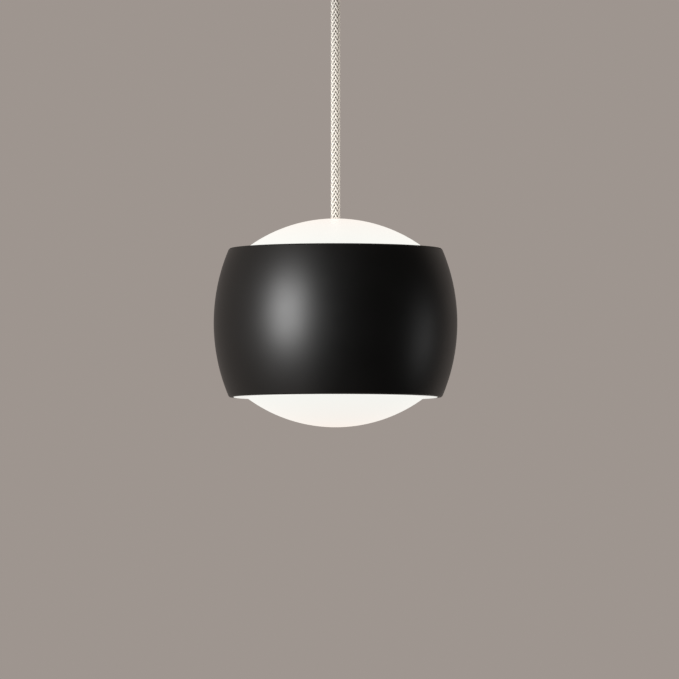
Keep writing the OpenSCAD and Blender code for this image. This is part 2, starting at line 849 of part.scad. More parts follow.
// The free cord, with a rounded top so that it can swing at its bending point
module suspension_cord() {
    tip_r = 0.1;
    top = [for (a = cord_top_steps) [cord_r * sin(a), max(cord_r * cos(a), tip_r)]];
    rounded = [for (s = top) [for (k = [0 : cord_sides - 1])
        [s[1] * cos(360 * k / cord_sides), -s[1] * sin(360 * k / cord_sides), pivot_z + s[0]]]];
    route = [for (d = cord_drops) [0, 0, pivot_z - d]];
    rings = concat(rounded, [for (i = [0 : len(route) - 1]) ring_of(route, i, cord_r, cord_sides)]);
    color([0.93, 0.91, 0.86]) polyhedron(
        points = [for (r = rings) each r],
        faces = tube_faces(len(rings), cord_sides)
    );
}

module cord_top_end() {
    color([0.93, 0.91, 0.86]) disc(cord_r, pivot_z + cord_r + rest_gap, tail_z);
}

// Turned grip: a flange under the canopy, a threaded neck through it and a flared mouth below
module cord_grip() {
    mouth_r = cord_hole_r + mouth_h * tan(mouth_angle);
    color([0.06, 0.06, 0.06]) difference() {
        rotate_extrude() difference() {
            union() {
                band(grip_d / 2, canopy_bottom - grip_flange_h, canopy_bottom);
                band(grip_d / 2 - grip_waist, grip_bottom, canopy_bottom - grip_flange_h / 2);
                band(neck_d / 2, canopy_bottom - past, neck_top);
            }
            band(cord_hole_r, pivot_z - past, neck_top + past);
            polygon([
                [0, pivot_z], [cord_hole_r, pivot_z], [mouth_r, grip_bottom],
                [mouth_r, grip_bottom - past], [0, grip_bottom - past]
            ]);
        }
        translate([0, 0, neck_top - neck_free_h / 2]) rotate([0, -90, 0]) disc(screw_hole_r, 0, neck_d);
    }
}

module grip_washer() {
    color([0.75, 0.76, 0.78]) difference() {
        disc(washer_d / 2, canopy_floor, nut_bottom);
        disc(neck_d / 2 + thread_gap, canopy_floor - past, nut_bottom + past);
    }
}

module grip_lock_nut() {
    color([0.8, 0.66, 0.35]) difference() {
        translate([0, 0, nut_bottom]) cylinder(d = nut_w / cos(30), h = nut_h, $fn = 6);
        disc(neck_d / 2 + thread_gap, nut_bottom - past, nut_bottom + nut_h + past);
    }
}

// A set screw that presses the cord inside the grip's neck
module grip_screw() {
    color([0.35, 0.35, 0.37]) translate([0, 0, neck_top - neck_free_h / 2]) rotate([0, -90, 0])
        set_screw(cord_r + rest_gap / 2, neck_d / 2 + grip_screw_out, screw_d, set_socket_w);
}

// Half plane profile of a cup that is open above, with a rounded lower edge
module cup_profile(r, z_low, z_high, edge) {
    band(r - edge, z_low, z_high);
    band(r, z_low + edge, z_high);
    translate([r - edge, z_low + edge]) intersection() {
        circle(r = edge);
        translate([0, -edge]) square(edge);
    }
}

module side_screw_places() {
    around(tab_angles) translate([0, 0, -grub_drop]) rotate([0, 90, 0]) children();
}

module canopy_cover() {
    color([0.06, 0.06, 0.06]) difference() {
        rotate_extrude() difference() {
            cup_profile(canopy_r, canopy_bottom, -ceiling_gap, canopy_edge);
            cup_profile(canopy_in_r, canopy_floor, past, canopy_edge - canopy_wall);
            band(neck_d / 2 + thread_gap, canopy_bottom - past, canopy_floor + past);
        }
        side_screw_places() disc(rivet_d / 2 + thread_gap, rivet_in_r, canopy_r + past);
    }
}

// Riveted nuts in the canopy's side, set flush with its outside
module canopy_nuts() {
    color([0.7, 0.7, 0.72]) side_screw_places() difference() {
        union() {
            disc(rivet_d / 2, rivet_in_r, canopy_r - rivet_sink);
            disc(rivet_flange_d / 2, rivet_in_r, canopy_in_r - rivet_sink);
        }
        disc(grub_d / 2 + thread_gap, rivet_in_r - past, canopy_r + past);
    }
}

// Socket set screws that clamp the canopy to the plate's tabs
module canopy_screws() {
    color([0.35, 0.35, 0.37]) side_screw_places()
        set_screw(tab_r + tip_gap, canopy_r - grub_sink, grub_d, grub_socket_w);
}

// A tab bent down from the plate's edge, seen as an angle section that is drawn out to its width
module bent_tab() {
    bend_out = bend_r + plate_t;
    translate([0, tab_w / 2, 0]) rotate([90, 0, 0]) linear_extrude(tab_w) {
        translate([plate_r - tab_w / 2, -plate_t]) square([tab_w / 2, plate_t]);
        translate([plate_r, -bend_out]) intersection() {
            difference() {
                circle(r = bend_out);
                circle(r = bend_r);
            }
            square(bend_out);
        }
        translate([tab_r - plate_t, -tab_h]) square([plate_t, tab_h - bend_out]);
    }
}

module slot_cut() {
    straight = slot_l - slot_w;
    for (x = [-straight / 2, straight / 2]) translate([x, 0, 0]) disc(slot_w / 2, -plate_t - past, past);
    translate([-straight / 2, -slot_w / 2, -plate_t - past]) cube([straight, slot_w, plate_t + 2 * past]);
}

module plate_screw_holes() {
    for (x = ear_xs) translate([x, driver_mid_y, 0]) disc(screw_hole_r, driver_bottom, past);
    for (y = [block_mid_y, earth_y]) translate([0, y, 0]) disc(screw_hole_r, driver_bottom, past);
}

module mounting_plate() {
    color([0.78, 0.79, 0.8]) difference() {
        union() {
            disc(plate_r, -plate_t, 0);
            around(tab_angles) bent_tab();
        }
        disc(mains_hole_d / 2, -plate_t - past, past);
        for (x = [-slot_spacing / 2, slot_spacing / 2]) translate([x, 0, 0]) slot_cut();
        plate_screw_holes();
    }
}

module mains_grommet() {
    color([0.15, 0.15, 0.15]) difference() {
        union() {
            disc(mains_hole_d / 2 - thread_gap, -plate_t - past / 2, -rest_gap);
            disc(grommet_flange_d / 2, -plate_t - grommet_flange_t, -plate_t);
        }
        disc(grommet_bore_d / 2, -plate_t - grommet_flange_t - past, past);
    }
}

// A block with rounded upright edges, standing on z = 0 and centred over the driver
module driver_block(length, width, height, edge) {
    linear_extrude(height) union() {
        translate([-length / 2 + edge, -width / 2]) square([length - 2 * edge, width]);
        translate([-length / 2, -width / 2 + edge]) square([length, width - 2 * edge]);
        for (x = [-1, 1], y = [-1, 1])
            translate([x * (length / 2 - edge), y * (width / 2 - edge)]) intersection() {
                circle(r = edge);
                translate([x * edge / 2, y * edge / 2]) square(edge, center = true);
            }
    }
}

module plug_hole(grow) {
    translate([-plug_l / 2 - grow, plug_y - plug_w / 2 - grow])
        square([plug_l + 2 * grow, plug_w + 2 * grow]);
}

// The driver's case: open below, with ledges for its board and an ear at each end
module driver_case() {
    ledge_l = driver_in_l - 2 * driver_in_edge;
    color([0.9, 0.9, 0.9]) difference() {
        union() {
            translate([0, driver_mid_y, lid_top])
                driver_block(driver_l, driver_w, -plate_t - lid_top, driver_edge);
            translate([-driver_l / 2 - ear_l, driver_mid_y - ear_l / 2, -plate_t - ear_t])
                cube([driver_l + 2 * ear_l, ear_l, ear_t]);
        }
        translate([0, driver_mid_y, lid_top - past])
            driver_block(driver_in_l, driver_in_w, driver_board_top - lid_top + past, driver_in_edge);
        translate([-ledge_l / 2, driver_mid_y - driver_in_w / 2 + ledge_w, driver_board_top - past])
            cube([ledge_l, driver_in_w - 2 * ledge_w, ledge_h + past]);
        plate_screw_holes();
        for (x = mains_xs) translate([x, driver_y - past, mains_z]) rotate([-90, 0, 0])
            cylinder(r = mains_lead_d / 2 + thread_gap, h = driver_wall + 2 * past);
    }
}

module driver_lid() {
    color([0.86, 0.86, 0.86]) difference() {
        translate([0, driver_mid_y, driver_bottom])
            driver_block(driver_l, driver_w, driver_wall, driver_edge);
        translate([0, 0, driver_bottom - past]) linear_extrude(driver_wall + 2 * past) plug_hole(plug_gap);
    }
}

module driver_board() {
    color([0.1, 0.35, 0.2]) translate([0, driver_mid_y, driver_board_under])
        driver_block(driver_in_l - 2 * rest_gap, driver_in_w - 2 * rest_gap, driver_board_t, driver_in_edge);
}

// Transformer and two storage capacitors under the driver's board
module driver_parts() {
    core_l = 13;
    core_w = 12;
    part_h = 9;
    can_d = 8;
    part_gap = 1.5;
    side_x = driver_in_l / 2 - core_l / 2 - part_gap;
    part_y = driver_y + driver_w - driver_wall - core_w / 2 - part_gap;
    color([0.3, 0.28, 0.22]) translate([0, part_y, driver_board_under - part_h]) {
        translate([-side_x - core_l / 2, -core_w / 2, 0]) cube([core_l, core_w, part_h]);
        for (x = [side_x, side_x - can_d - part_gap]) translate([x, 0, 0]) cylinder(d = can_d, h = part_h);
    }
}

module driver_socket() {
    cavity_top = driver_bottom + plug_in_h + rest_gap;
    color([0.93, 0.93, 0.9]) difference() {
        translate([0, 0, lid_top]) linear_extrude(driver_board_under - lid_top)
            plug_hole(plug_gap + socket_wall);
        translate([0, 0, lid_top - past]) linear_extrude(cavity_top - lid_top + past) plug_hole(plug_gap);
    }
}

module driver_plug() {
    color([0.93, 0.93, 0.9]) {
        translate([0, 0, driver_bottom - past / 2]) linear_extrude(plug_in_h + past / 2) plug_hole(0);
        translate([0, 0, plug_bottom]) linear_extrude(plug_out_h - rest_gap) plug_hole(plug_step);
    }
}

// Screws that hold the driver and the terminal block up against the plate
module plate_screws() {
    color([0.75, 0.76, 0.78]) {
        for (x = ear_xs) translate([x, driver_mid_y, -plate_t - ear_t]) mirror([0, 0, 1])
            machine_screw(plate_t + ear_t - rest_gap);
        translate([0, block_mid_y, -plate_t - block_foot_t]) mirror([0, 0, 1])
            machine_screw(plate_t + block_foot_t - rest_gap);
    }
}

// Terminal block: a moulded body with a wire hole and a screw well at both ends of each pole
module terminal_block() {
    color([0.93, 0.92, 0.88]) difference() {
        translate([-block_l / 2, block_far_y, block_bottom]) cube([block_l, block_w, block_h]);
        for (x = pole_xs) translate([x, 0, 0]) {
            translate([0, -block_y + past, mains_z]) rotate([90, 0, 0])
                cylinder(d = pole_hole_d, h = pole_hole_h + past);
            translate([0, block_far_y - past, mains_z]) rotate([-90, 0, 0])
                cylinder(d = pole_hole_d, h = pole_hole_h + past);
            for (y = pole_screw_ys) translate([0, y, 0])
                disc(pole_screw_d / 2 + thread_gap, block_bottom - past, mains_z);
        }
        translate([0, block_mid_y, 0]) {
            disc(screw_head_d / 2 + rest_gap, block_bottom - past, -plate_t - block_foot_t);
            disc(screw_hole_r, -plate_t - block_foot_t - past, past);
        }
    }
}

module terminal_screws() {
    groove_cut = [2 * pole_screw_d, pole_groove_w, past + rest_gap + pole_groove_w];
    color([0.75, 0.76, 0.78]) for (x = pole_xs, y = pole_screw_ys) translate([x, y, 0]) difference() {
        disc(pole_screw_d / 2, block_bottom + rest_gap, mains_z - pole_hole_d / 2);
        translate([-pole_screw_d, -pole_groove_w / 2, block_bottom - past]) cube(groove_cut);
    }
}

module earth_screw() {
    color([0.8, 0.66, 0.35]) translate([0, earth_y, -plate_t]) mirror([0, 0, 1]) {
        disc(earth_cup_d / 2, 0, earth_cup_t);
        translate([0, 0, earth_cup_t]) machine_screw(plate_t + earth_cup_t - rest_gap);
    }
}

module mains_leads() {
    color([0.35, 0.2, 0.1]) for (x = mains_xs) lead(mains_route, x, mains_lead_d / 2);
}

module output_leads() {
    color([0.75, 0.12, 0.1]) for (x = lead_xs) lead(output_route, x, lead_r);
}

mounting_plate();
mains_grommet();
driver_case();
driver_lid();
driver_board();
driver_parts();
driver_socket();
plate_screws();
terminal_block();
terminal_screws();
earth_screw();
mains_leads();
canopy_cover();
canopy_nuts();
canopy_screws();
cord_grip();
grip_washer();
grip_lock_nut();
grip_screw();
cord_top_end();
output_leads();
driver_plug();
suspension_cord();
housing();
cord_tube();
cord_anchor();
anchor_screw();
cord_bottom_end();
board_posts();
control_board();
control_parts();
control_board_screws();
head_leads();
upper_feed_leads();
link_header();
upper_led_board();
upper_leds();
upper_board_screws();
upper_reflector();
upper_lens_seal();
upper_lens();
lower_led_board();
lower_leds();
lower_board_screws();
lower_reflector();
gesture_sensor();
sensor_shroud();
lower_lens_seal();
lower_lens();
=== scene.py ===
# A small black pendant lamp: a barrel housing that glows from an opal dome above and below, hung on a
# white braided cord from a ceiling canopy. The sections follow the lamp as it is put together.
import json
import math

import bpy
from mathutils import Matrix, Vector


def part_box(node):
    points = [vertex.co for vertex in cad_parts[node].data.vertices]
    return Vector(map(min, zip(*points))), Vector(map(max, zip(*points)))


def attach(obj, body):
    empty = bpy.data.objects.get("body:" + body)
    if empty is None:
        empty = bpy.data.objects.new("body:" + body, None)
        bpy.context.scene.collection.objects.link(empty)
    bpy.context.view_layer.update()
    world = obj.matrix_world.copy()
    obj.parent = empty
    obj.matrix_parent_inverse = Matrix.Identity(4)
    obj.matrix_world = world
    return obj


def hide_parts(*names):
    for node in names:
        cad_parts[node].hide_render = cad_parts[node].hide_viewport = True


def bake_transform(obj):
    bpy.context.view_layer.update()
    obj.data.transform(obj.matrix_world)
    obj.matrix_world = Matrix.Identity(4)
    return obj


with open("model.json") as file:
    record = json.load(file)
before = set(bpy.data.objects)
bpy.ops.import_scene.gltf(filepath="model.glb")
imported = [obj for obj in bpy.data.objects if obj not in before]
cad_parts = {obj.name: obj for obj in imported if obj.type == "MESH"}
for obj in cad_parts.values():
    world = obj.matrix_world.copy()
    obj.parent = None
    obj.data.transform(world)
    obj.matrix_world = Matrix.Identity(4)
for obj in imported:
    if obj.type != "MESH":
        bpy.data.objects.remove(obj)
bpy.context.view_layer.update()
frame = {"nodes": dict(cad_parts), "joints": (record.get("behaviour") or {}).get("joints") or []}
nodes = frame["nodes"]

# Camera: far off with a long lens, a little below the lamp head and looking slightly up at it, so that
# both domes show. The picture is square, and its width at the lamp is a named length.
head_low, head_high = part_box("housing")
head_z = (head_low.z + head_high.z) / 2
camera_right = 0.0018
camera_distance = 2.9
camera_drop = 0.119
target_drop = 0.0075
picture_width = 0.3065


def add_object(name, data):
    """An object in the scene, made from its data."""
    thing = bpy.data.objects.new(name, data)
    bpy.context.scene.collection.objects.link(thing)
    return thing


camera_place = Vector((camera_right, -camera_distance, head_z - camera_drop))
camera_target = Vector((camera_right, 0, head_z - target_drop))
line_of_sight = camera_target - camera_place
camera_data = bpy.data.cameras.new("camera")
camera_data.lens = camera_data.sensor_width * line_of_sight.length / picture_width
camera = add_object("camera", camera_data)
camera.location = camera_place
camera.rotation_euler = line_of_sight.to_track_quat("-Z", "Y").to_euler()
bpy.context.scene.camera = camera

# Braided cord: two insulated cores in a round jacket, under a cover of 16 flat bundles of white polyester.
# Eight bundles of three yarns wind each way, over two and under two of the others. The cord hangs straight
# from the canopy's grip to the crown of the lamp head, goes on into both, and is clamped inside them.
cord_drops = [0, 0.009, 0.018, 0.027, 0.036, 0.045, 0.054, 0.063, 0.072, 0.081, 0.090, 0.099, 0.108]
cord_diameter = 0.0042
bundles_each_way = 8
braid_lead = 0.0200
braid_turn = math.radians(5)
braid_phase = 0.75 * math.pi
bundle_width = 0.0007
bundle_thickness = 0.0004
bundle_wave = 0.0002
yarns_per_bundle = 3
yarn_groove = 0.00005
steps_per_crossing = 4
jacket_radius = 0.0012
jacket_sides = 24
yarn_dull = (0.92, 0.895, 0.84, 1)
yarn_clean = (0.97, 0.95, 0.905, 1)
jacket_dark = (0.06, 0.05, 0.04, 1)
jacket_light = (0.12, 0.102, 0.083, 1)


def set_inputs(node, values):
    """Sets a node's inputs by socket name, with _ for a space."""
    for name, value in values.items():
        node.inputs[name.replace("_", " ")].default_value = value


def new_material(name, **values):
    """A material with its node tree, and the shader that its textures feed, with values by socket name."""
    material = bpy.data.materials.new(name)
    material.use_nodes = True
    tree = material.node_tree
    shader = tree.nodes["Principled BSDF"]
    set_inputs(shader, values)
    return material, tree, shader


def add_node(tree, kind, **values):
    """A node in a tree, with settings by attribute name or, where it has none, by socket name."""
    node = tree.nodes.new(kind)
    for name, value in values.items():
        if hasattr(node, name):
            setattr(node, name, value)
        else:
            set_inputs(node, {name: value})
    return node


def add_bump(tree, shader, height, strength, distance):
    """Lets a height over the surface bend the shader's normals."""
    bump = add_node(tree, "ShaderNodeBump", Strength=strength, Distance=distance)
    tree.links.new(height, bump.inputs["Height"])
    tree.links.new(bump.outputs["Normal"], shader.inputs["Normal"])


def add_patches(tree, dark, light, scale, detail, low=0, high=1):
    """A colour that wanders in small patches between a dark and a light shade."""
    body = add_node(tree, "ShaderNodeTexCoord")
    patches = add_node(tree, "ShaderNodeTexNoise", Scale=scale, Detail=detail)
    shade = add_node(tree, "ShaderNodeValToRGB")
    first, last = shade.color_ramp.elements
    first.position, first.color = low, dark
    last.position, last.color = high, light
    tree.links.new(body.outputs["Object"], patches.inputs["Vector"])
    tree.links.new(patches.outputs["Fac"], shade.inputs["Fac"])
    return shade.outputs["Color"]


def yarn_material():
    """White polyester: fine filaments along each bundle, uneven shade, and painted shade low in the braid."""
    filaments = 15
    # Painted shade: the lower the yarn lies in the braid, the darker its colour, for the shade between
    # bundles.
    painted_shade_low, painted_shade_high = 0.76, 0.90
    painted_shade_depth = 0.58
    material, tree, shader = new_material("white_yarn", Roughness=0.82, Sheen_Weight=0.25)
    place = add_node(tree, "ShaderNodeUVMap", uv_map="place_in_braid")
    split = add_node(tree, "ShaderNodeSeparateXYZ")
    across = add_node(tree, "ShaderNodeMath", operation="MULTIPLY")
    across.inputs[1].default_value = filaments * 2 * math.pi
    ridges = add_node(tree, "ShaderNodeMath", operation="SINE")
    dust_and_painted_shade = add_node(tree, "ShaderNodeMapRange", From_Min=painted_shade_low, From_Max=painted_shade_high, To_Min=painted_shade_depth)
    painted_shade = add_node(tree, "ShaderNodeHueSaturation")
    shade = add_patches(tree, yarn_dull, yarn_clean, scale=900, detail=3, low=0.3, high=0.7)
    tree.links.new(place.outputs["UV"], split.inputs["Vector"])
    tree.links.new(split.outputs["X"], across.inputs[0])
    tree.links.new(across.outputs["Value"], ridges.inputs[0])
    tree.links.new(split.outputs["Y"], dust_and_painted_shade.inputs["Value"])
    tree.links.new(dust_and_painted_shade.outputs["Result"], painted_shade.inputs["Value"])
    tree.links.new(shade, painted_shade.inputs["Color"])
    tree.links.new(painted_shade.outputs["Color"], shader.inputs["Base Color"])
    add_bump(tree, shader, ridges.outputs["Value"], strength=0.9, distance=0.00002)
    return material


def jacket_material():
    """The round inner jacket that shows only in the small gaps of the braid."""
    material, tree, shader = new_material("cord_jacket", Roughness=0.7)
    shade = add_patches(tree, jacket_dark, jacket_light, scale=600, detail=2)
    tree.links.new(shade, shader.inputs["Base Color"])
    return material


yarn = yarn_material()
jacket = jacket_material()


def add_tube(rings, vertices, faces, places):
    """Joins rings of points into a closed tube, and notes how far round and how far out each corner lies."""
    quad = ((0, 0), (0, 1), (1, 1), (1, 0))
    sides = len(rings[0])
    start = len(vertices)
    for ring in rings:
        vertices.extend(ring)
    for row in range(len(rings) - 1):
        for side in range(sides):
            first = start + row * sides + side
            second = start + row * sides + (side + 1) % sides
            faces.append((first, second, second + sides, first + sides))
            for row_step, side_step in quad:
                corner = rings[row + row_step][(side + side_step) % sides]
                places.append(((side + side_step) / sides, corner.xy.length / (cord_diameter / 2)))
    faces.append(tuple(range(start + sides - 1, start - 1, -1)))
    faces.append(tuple(range(len(vertices) - sides, len(vertices))))
    places.extend([(0, 1)] * (2 * sides))


def bundle_profile():
    """Corner points round a bundle, across and outward: yarns side by side outside, and flat inside."""
    corners = []
    outer_steps = 2 * yarns_per_bundle
    for step in range(outer_steps + 1):
        across = 1 - 2 * step / outer_steps
        groove = yarn_groove if step % 2 == 0 and 0 < step < outer_steps else 0
        corners.append((across, math.sqrt(1 - across ** 2) * bundle_thickness / 2 - groove))
    for across in (-0.5, 0, 0.5):
        corners.append((across, -math.sqrt(1 - across ** 2) * bundle_thickness / 2))
    return [(across * bundle_width / 2, height) for across, height in corners]


bundle_corners = bundle_profile()


def bundle_ring(z, turn, way):
    """Corner points round one bundle at a height, where the bundle winds one way or the other."""
    angle = turn + way * 2 * math.pi * z / braid_lead
    # Over two and under two: the wave takes four crossings, and its crests are cut flat.
    column = bundles_each_way / 2 * (angle - braid_turn) + braid_phase
    wave = bundle_wave * max(-1, min(1, math.sqrt(2) * math.cos(column)))
    radius = cord_diameter / 2 - bundle_wave - bundle_thickness / 2 + way * wave
    outward = Vector((math.cos(angle), math.sin(angle), 0))
    around = Vector((-math.sin(angle), math.cos(angle), 0))
    slope = way * 2 * math.pi * radius / braid_lead
    sideways = (around - slope * Vector((0, 0, 1))).normalized()
    centre = radius * outward + Vector((0, 0, z))
    return [centre + across * sideways + height * outward for across, height in bundle_corners]


def circle(radius, corners):
    """Points at even steps round the lamp's axis."""
    turns = [2 * math.pi * corner / corners for corner in range(corners)]
    return [(radius * math.cos(turn), radius * math.sin(turn)) for turn in turns]


def braided_cord(name, top_z, bottom_z):
    """A length of cord on the lamp's axis: the jacket, and the braid's bundles over it."""
    vertices, faces, places = [], [], []
    crossing = braid_lead / (2 * bundles_each_way)
    steps = math.ceil((top_z - bottom_z) / crossing * steps_per_crossing)
    heights = [bottom_z + (top_z - bottom_z) * step / steps for step in range(steps + 1)]
    jacket_ring = circle(jacket_radius, jacket_sides)
    add_tube([[Vector((x, y, z)) for x, y in jacket_ring] for z in heights], vertices, faces, places)
    jacket_faces = len(faces)
    for way in (-1, 1):
        for bundle in range(bundles_each_way):
            turn = braid_turn + 2 * math.pi * bundle / bundles_each_way
            add_tube([bundle_ring(z, turn, way) for z in heights], vertices, faces, places)
    mesh = bpy.data.meshes.new(name)
    mesh.from_pydata(vertices, [], faces)
    uv_layer = mesh.uv_layers.new(name="place_in_braid")
    uv_layer.data.foreach_set("uv", [value for place in places for value in place])
    mesh.materials.append(jacket)
    mesh.materials.append(yarn)
    mesh.polygons.foreach_set("material_index", [int(face >= jacket_faces) for face in range(len(faces))])
    mesh.shade_smooth()
    piece = add_object(name, mesh)
    return piece


joints = {joint["name"]: joint for joint in frame["joints"]}
pivot_z = joints["cord_swing"]["pos_m"][2]
crown_z = pivot_z - cord_drops[-1]
tucked = 0.002
seam = 0.0001
cord = braided_cord("braided_cord", pivot_z + tucked, crown_z - tucked)
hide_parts("suspension_cord")
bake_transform(cord)
cord_tail = braided_cord("cord_tail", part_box("cord_top_end")[1].z, pivot_z + tucked + seam)
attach(cord_tail, "canopy")
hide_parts("cord_top_end")
cord_root = braided_cord("cord_root", crown_z - tucked - seam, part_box("cord_bottom_end")[0].z)
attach(cord_root, "head")
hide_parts("cord_bottom_end")

# Mounting plate: a disc of zinc plated steel with three tabs bent down for the canopy's side screws.
# It is screwed to the ceiling through two slots. Most of the lamp's screws, the riveted nuts and the cord
# grip's washer are plated the same way.


def new_group(name, inputs, outputs):
    """A shader node group with named sockets; inputs are name, kind and value, outputs name and kind."""
    group = bpy.data.node_groups.new(name, "ShaderNodeTree")
    for label, kind, value in inputs:
        group.interface.new_socket(label, in_out="INPUT", socket_type=kind).default_value = value
    for label, kind in outputs:
        group.interface.new_socket(label, in_out="OUTPUT", socket_type=kind)
    return group, group.nodes.new("NodeGroupInput"), group.nodes.new("NodeGroupOutput")


def add_group(tree, group, **values):
    """Places a node group in a material with its own values, by socket name."""
    node = tree.nodes.new("ShaderNodeGroup")
    node.node_tree = group
    set_inputs(node, values)
    return node


def per_metre(tree, size):
    """How often a size goes into a metre, which is a texture's scale."""
    scale = add_node(tree, "ShaderNodeMath", operation="DIVIDE")
    scale.inputs[0].default_value = 1
    tree.links.new(size, scale.inputs[1])
    return scale.outputs["Value"]


def vary(tree, mask, spread, middle=None):
    """A value that rises and falls with a mask, by a spread about a middle value or, without one, about 1."""
    centred = add_node(tree, "ShaderNodeMath", operation="SUBTRACT")
    centred.inputs[1].default_value = 0.5
    varied = add_node(tree, "ShaderNodeMath", operation="MULTIPLY_ADD")
    varied.inputs[2].default_value = 1
    tree.links.new(mask, centred.inputs[0])
    tree.links.new(centred.outputs["Value"], varied.inputs[0])
    tree.links.new(spread, varied.inputs[1])
    if middle is not None:
        tree.links.new(middle, varied.inputs[2])
    return varied.outputs["Value"]


def vary_shade(tree, mask, spread, colour):
    """A colour that gets lighter and darker with a mask."""
    shade = add_node(tree, "ShaderNodeHueSaturation")
    tree.links.new(vary(tree, mask, spread), shade.inputs["Value"])
    tree.links.new(colour, shade.inputs["Color"])
    return shade.outputs["Color"]


def spangle_group():
    """Plating: small crystals that differ in shade and in how sharply they reflect."""
    group, given, put = new_group(
        "spangle",
        [("Colour", "NodeSocketColor", (0.6, 0.6, 0.6, 1)), ("Crystal Size", "NodeSocketFloat", 0.002),
         ("Roughness", "NodeSocketFloat", 0.35), ("Spread", "NodeSocketFloat", 0.1)],
        [("Colour", "NodeSocketColor"), ("Roughness", "NodeSocketFloat"), ("Height", "NodeSocketFloat")])
    body = add_node(group, "ShaderNodeTexCoord")
    scale = per_metre(group, given.outputs["Crystal Size"])
    crystals = add_node(group, "ShaderNodeTexVoronoi")
    scratches = add_node(group, "ShaderNodeTexNoise", Detail=4)
    for texture in (crystals, scratches):
        group.links.new(body.outputs["Object"], texture.inputs["Vector"])
        group.links.new(scale, texture.inputs["Scale"])
    split = add_node(group, "ShaderNodeSeparateColor")
    group.links.new(crystals.outputs["Color"], split.inputs["Color"])
    mask, spread = split.outputs["Red"], given.outputs["Spread"]
    group.links.new(vary_shade(group, mask, spread, given.outputs["Colour"]), put.inputs["Colour"])
    group.links.new(vary(group, mask, spread, given.outputs["Roughness"]), put.inputs["Roughness"])
    group.links.new(scratches.outputs["Fac"], put.inputs["Height"])
    return group


spangle = spangle_group()


def wear_skin(tree, skin, shader):
    """Gives the shader a skin's colour and roughness."""
    tree.links.new(skin.outputs["Colour"], shader.inputs["Base Color"])
    tree.links.new(skin.outputs["Roughness"], shader.inputs["Roughness"])


def plated_material(name, colour, crystal, roughness, spread, metallic):
    """Steel with a plated skin; the less metallic it is, the chalkier it looks."""
    material, tree, shader = new_material(name, Metallic=metallic)
    skin = add_group(tree, spangle, Colour=(*colour, 1), Crystal_Size=crystal, Roughness=roughness,
                     Spread=spread)
    wear_skin(tree, skin, shader)
    add_bump(tree, shader, skin.outputs["Height"], strength=0.06, distance=0.00005)
    return material


def finish(material, *names):
    """Gives CAD pieces their finish in place of the plain one that they came with."""
    for name in names:
        mesh = nodes[name].data
        mesh.materials.clear()
        mesh.materials.append(material)


zinc = plated_material("zinc_plating", colour=(0.60, 0.61, 0.62), crystal=0.004, roughness=0.36, spread=0.13,
                       metallic=0.45)
finish(zinc, "mounting_plate", "plate_screws", "terminal_screws", "canopy_nuts", "grip_washer",
       "upper_board_screws", "lower_board_screws", "control_board_screws")

# Mains grommet: a ring of soft black rubber that is pressed into the plate's hole, so that its edge
# can't cut the house wiring.
skin_grain = 0.0004
skin_spread = 0.15


def grain_group():
    """A moulded or coated skin: fine grain, and broad patches that are a little duller or lighter."""
    group, given, put = new_group(
        "fine_grain",
        [("Colour", "NodeSocketColor", (0.5, 0.5, 0.5, 1)), ("Shade", "NodeSocketFloat", 0.1),
         ("Roughness", "NodeSocketFloat", 0.5), ("Spread", "NodeSocketFloat", 0.1),
         ("Grain Size", "NodeSocketFloat", 0.0005)],
        [("Colour", "NodeSocketColor"), ("Roughness", "NodeSocketFloat"), ("Height", "NodeSocketFloat")])
    grains_per_patch = 30
    body = add_node(group, "ShaderNodeTexCoord")
    fine_scale = per_metre(group, given.outputs["Grain Size"])
    broad_scale = add_node(group, "ShaderNodeMath", operation="DIVIDE")
    broad_scale.inputs[1].default_value = grains_per_patch
    group.links.new(fine_scale, broad_scale.inputs[0])
    fine = add_node(group, "ShaderNodeTexNoise", Detail=3)
    broad = add_node(group, "ShaderNodeTexNoise", Detail=3)
    for texture, scale in ((fine, fine_scale), (broad, broad_scale.outputs["Value"])):
        group.links.new(body.outputs["Object"], texture.inputs["Vector"])
        group.links.new(scale, texture.inputs["Scale"])
    mask = broad.outputs["Fac"]
    shade = vary_shade(group, mask, given.outputs["Shade"], given.outputs["Colour"])
    rough = vary(group, mask, given.outputs["Spread"], given.outputs["Roughness"])
    group.links.new(shade, put.inputs["Colour"])
    group.links.new(rough, put.inputs["Roughness"])
    group.links.new(fine.outputs["Fac"], put.inputs["Height"])
    return group


fine_grain = grain_group()


def moulded_material(name, colour, roughness, bump=0.2):
    """Plastic or rubber with a fine grain in its skin."""
    material, tree, shader = new_material(name)
    skin = add_group(tree, fine_grain, Colour=(*colour, 1), Shade=skin_spread, Roughness=roughness,
                     Spread=skin_spread, Grain_Size=skin_grain)
    wear_skin(tree, skin, shader)
    add_bump(tree, shader, skin.outputs["Height"], strength=bump, distance=skin_grain / 4)
    return material


finish(moulded_material("black_rubber", colour=(0.02, 0.02, 0.02), roughness=0.7), "mains_grommet")

# Driver: a white moulded case with a lid, screwed up under the plate by its two ears. A green board
# inside carries a transformer and two capacitors, and the socket for the output plug.
finish(moulded_material("white_plastic", colour=(0.66, 0.66, 0.64), roughness=0.5), "driver_case",
       "driver_lid", "cord_tube")
finish(moulded_material("component_black", colour=(0.03, 0.03, 0.035), roughness=0.45), "driver_parts",
       "control_parts", "gesture_sensor")


def board_material(name, mask, track):
    """A circuit board: solder mask over copper tracks that show as a lighter or duller pattern."""
    material, tree, shader = new_material(name, Roughness=0.35)
    body = add_node(tree, "ShaderNodeTexCoord")
    tracks = add_node(tree, "ShaderNodeTexBrick", Color1=(*mask, 1), Color2=(*mask, 1), Mortar=(*track, 1),
                      Scale=250, Mortar_Size=0.03, Brick_Width=0.8, Row_Height=0.35)
    tree.links.new(body.outputs["Object"], tracks.inputs["Vector"])
    tree.links.new(tracks.outputs["Color"], shader.inputs["Base Color"])
    add_bump(tree, shader, tracks.outputs["Fac"], strength=0.2, distance=0.00003)
    return material


